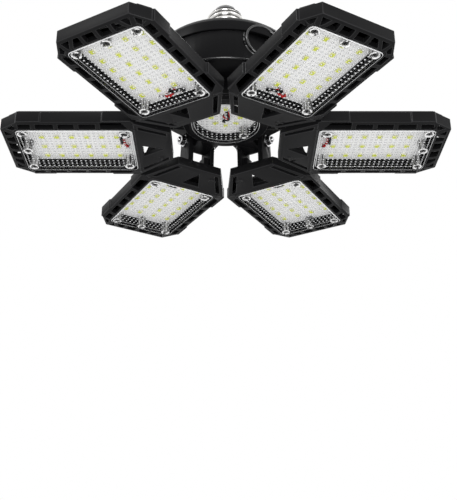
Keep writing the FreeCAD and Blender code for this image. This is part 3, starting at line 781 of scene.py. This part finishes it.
# the boss bends the light into upright streaks: noise drawn out along the height
clear_boss = Finish("clear_boss")
drawn_out = clear_boss.node("ShaderNodeMapping", None, {"Vector": clear_boss.place(), "Scale": (1.0, 1.0, 0.05)})
streak = clear_boss.node("ShaderNodeTexNoise", None, {"Vector": drawn_out, "Scale": 900.0, "Detail": 1.0})
clear_boss.set(Base_Color=clear_boss.mixed(streak.below(0.5, 0.05), (0.02, 0.02, 0.02), (0.88, 0.88, 0.88)),
               Roughness=0.12, Alpha=clear_boss.grain(500, 2) * 0.5 + 0.1)
# painted reflection: the clear foot of each boss is painted in patches of white glint and near-black reflection,
# nearly opaque
boss_ring_painted_glints = Finish("boss_ring_painted_glints")
boss_ring_painted_glints.set(Base_Color=boss_ring_painted_glints.mixed(boss_ring_painted_glints.grain(520, 1).below(0.44, 0.04), (0.9, 0.9, 0.9),
                                           (0.03, 0.03, 0.03)),
               Roughness=0.12, Alpha=boss_ring_painted_glints.grain(800, 1) * 0.3 + 0.75)
screw_places = [(86.2, -20.3, 0), (86.2, 20.3, 0), (86.2, 0, 0), (21.6, -19.8, 0), (21.6, 19.8, 0)]
for number in panels:
    fastened("panel_%d" % number, screw_places, "panel_%d" % number, lambda p, n=number: on_panel(p, n),
             board_rise)
screw_circle = 18.2
turn = np.radians([48, 228])
circle_places = np.stack([screw_circle * np.cos(turn), screw_circle * np.sin(turn), np.full(2, centre_face)], 1)
fastened("centre", circle_places, "hub", lambda p: p * MM, centre_board - centre_face)

# ---- Leads --------------------------------------------------------------------------------------------------
# A black two-core lead runs from the hub to each panel. It leaves a square gland, passes the bolt's head and
# goes down into the back of the nose plate.
rubber = Finish("black_lead", (0.007, 0.007, 0.0075), Specular_IOR_Level=0.15)
rubber.set(Roughness=rubber.grain(1500) * 0.15 + 0.35, Normal=rubber.relief(rubber.grain(2500), 0.00005))


def smooth_line(points, name):
    """The line of a NURBS spline of order 3 over control points, as Blender draws it."""
    curve = bpy.data.curves.new(name, "CURVE")
    curve.dimensions = "3D"
    spline = curve.splines.new("NURBS")
    spline.points.add(len(points) - 1)
    spline.points.foreach_set("co", np.insert(np.asarray(points, float), 3, 1.0, 1).ravel())
    spline.order_u = 3
    spline.use_endpoint_u = True
    spline.resolution_u = 10
    holder = bpy.data.objects.new(name, curve)
    bpy.context.scene.collection.objects.link(holder)
    drawn = bpy.data.meshes.new_from_object(holder)
    line = np.empty(len(drawn.vertices) * 3)
    drawn.vertices.foreach_get("co", line)
    bpy.data.objects.remove(holder)
    bpy.data.meshes.remove(drawn)
    return line.reshape(-1, 3)


def tube(line, radius, steps=16, lean=(0.35, -0.62, 0.70)):
    """Closed tube about a line: at each of its points a circle across its direction, started from the leaning
    vector less its share along the line; both ends run in to the middle."""
    along = np.gradient(line, axis=0)
    along /= np.linalg.norm(along, axis=1)[:, None]
    first = np.asarray(lean) - (along @ np.asarray(lean))[:, None] * along
    first /= np.linalg.norm(first, axis=1)[:, None]
    second = np.cross(along, first)
    turn = np.linspace(0, 2 * math.pi, steps, endpoint=False)[None, :, None]
    ring = first[:, None, :] * np.cos(turn) + second[:, None, :] * np.sin(turn)
    walls = line[:, None, :] + radius * ring
    ends = [np.repeat(line[i][None, None], steps, 1) for i in (0, -1)]
    points = np.concatenate([ends[0], walls, ends[1]])
    return points.reshape(-1, 3), net(len(points), steps)


lead_radius = 1.4
# outward, along the axis towards the nut and up from the middle of the hinge
lead_route = [(-14.6, -12.4, 2.6), (-10.6, -12.4, 2.6), (-4.8, -16.3, 3.0), (4.6, -16.3, 3.4), (5.4, -15.8, -8.0),
              (2.2, -14.35, -12.4), (2.2, -14.35, -17.4)]
for number in panels:
    route = on_hinge(lead_route, number)
    lead = piece("panel_%d_lead" % number, *tube(smooth_line(route, "lead_line"), lead_radius * MM), None, rubber,
                 ["panel_%d_cable" % number], "cable_black")
    soften(lead, 50)
    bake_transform(lead)

# ---- Wires on the boards ------------------------------------------------------------------------------------
# The lead's two cores come through a hole in each board, at the end by the hub. One is red and one black; each
# crosses a little of the board in an arch and ends in a bright solder joint.
insulation = {"red": (0.34, 0.006, 0.008), "black": (0.006, 0.006, 0.0065)}
core_finish = {}
for shade, color in insulation.items():
    core_finish[shade] = Finish(shade + "_insulation", color, Specular_IOR_Level=0.15)
    patch = core_finish[shade].grain(800)
    core_finish[shade].set(Roughness=patch * 0.2 + 0.3,
                           Base_Color=core_finish[shade].mixed(patch, color, tuple(c * 1.3 for c in color)))
joint_sections = [(0.0, -1.45), (0.35, -1.38), (0.62, -1.0), (0.85, -0.5), (1.3, -0.12), (1.5, -0.01), (0.0, -0.01)]
ring_sections = [(0.9, -0.45), (1.25, -0.6), (1.6, -0.45), (1.75, -0.01), (0.9, -0.01)]


def wired(name, cores, joints, holes, body, to_frame):
    """Cores along their routes, each with its radius in mm, with their joints and the eyelets of their holes;
    u is up from the board."""
    for shade, radius, route in cores:
        line = smooth_line(to_frame(np.array(route, float)), "core_line")
        thing = piece("%s_%s_core" % (name, shade), *tube(line, radius * MM, 12, (0.2, 0.3, 0.93)), body,
                      core_finish[shade], (), "cable_black")
        soften(thing, 50)
    for label, sections, places in (("joints", joint_sections, joints), ("eyelets", ring_sections, holes)):
        closed = label == "eyelets"
        solid, quads = upright(sections + sections[:1] if closed else sections, 20)
        points, faces = copies(solid, quads, np.insert(np.array(places, float), 2, 0, 1))
        soften(piece(name + "_" + label, to_frame(points), faces, body, zinc if closed else solder, (),
                     "contact_metal"), 40)


for number in panels:
    mirror = np.array([1, nut_side(number), 1])
    black = [(24.6, 1.2, -0.2), (25.0, 0.2, -1.6), (25.0, 1.4, -2.8), (24.8, 4.8, -3.0), (24.9, 8.2, -2.8),
             (22.8, 9.6, -2.2), (21.0, 8.4, -1.4), (20.5, 7.0, -0.9)]
    red = [(23.8, 3.0, -0.2), (23.5, 2.6, -1.8), (22.8, 0.8, -3.0), (21.8, -1.8, -2.8), (21.4, -3.4, -1.8),
           (21.5, -4.4, -0.9)]
    wired("panel_%d" % number, [("black", 0.9, black * mirror), ("red", 0.9, red * mirror)],
          [(20.3, 6.0 * mirror[1]), (21.6, -4.8 * mirror[1])], [(24.4, 2.2 * mirror[1]), (21.9, -7.4 * mirror[1])],
          "panel_%d" % number, lambda p, n=number: on_panel(p + (0, 0, board_rise), n))

black = [(0.6, -6.8, -0.3), (0.9, -6.0, -2.2), (2.3, -3.2, -3.4), (1.6, -0.2, -2.8), (-1.4, -0.6, -3.2),
         (-1.8, 1.8, -2.4), (-0.9, 4.2, -1.2), (-0.8, 4.8, -0.8)]
red = [(1.6, -6.4, -0.3), (2.0, -5.6, -1.8), (2.4, -4.4, -3.0), (1.4, -2.6, -3.6), (-0.6, -2.0, -2.4),
       (-1.8, -2.4, -1.0)]
wired("centre", [("black", 0.85, black), ("red", 0.6, red)], [(-0.8, 5.2), (-2.2, -2.8)], [(1.1, -7.0)], "hub",
      lambda p: (p + (0, 0, centre_board)) * MM)

# ---- Driver -------------------------------------------------------------------------------------------------
# Inside the drum a green power board stands on four posts, with its capacitor, coil and rectifier. The housing
# closes it in, apart from the vents of the crown.
resist = Finish("green_resist")
resist.set(Base_Color=resist.mixed(resist.grain(300), (0.02, 0.14, 0.05), (0.03, 0.20, 0.08)), Roughness=0.4)
dress("driver_board", resist)
epoxy = Finish("black_epoxy")
epoxy.set(Base_Color=epoxy.mixed(epoxy.grain(500), (0.02, 0.02, 0.02), (0.04, 0.04, 0.04)), Roughness=0.5)
dress("driver_parts", epoxy)
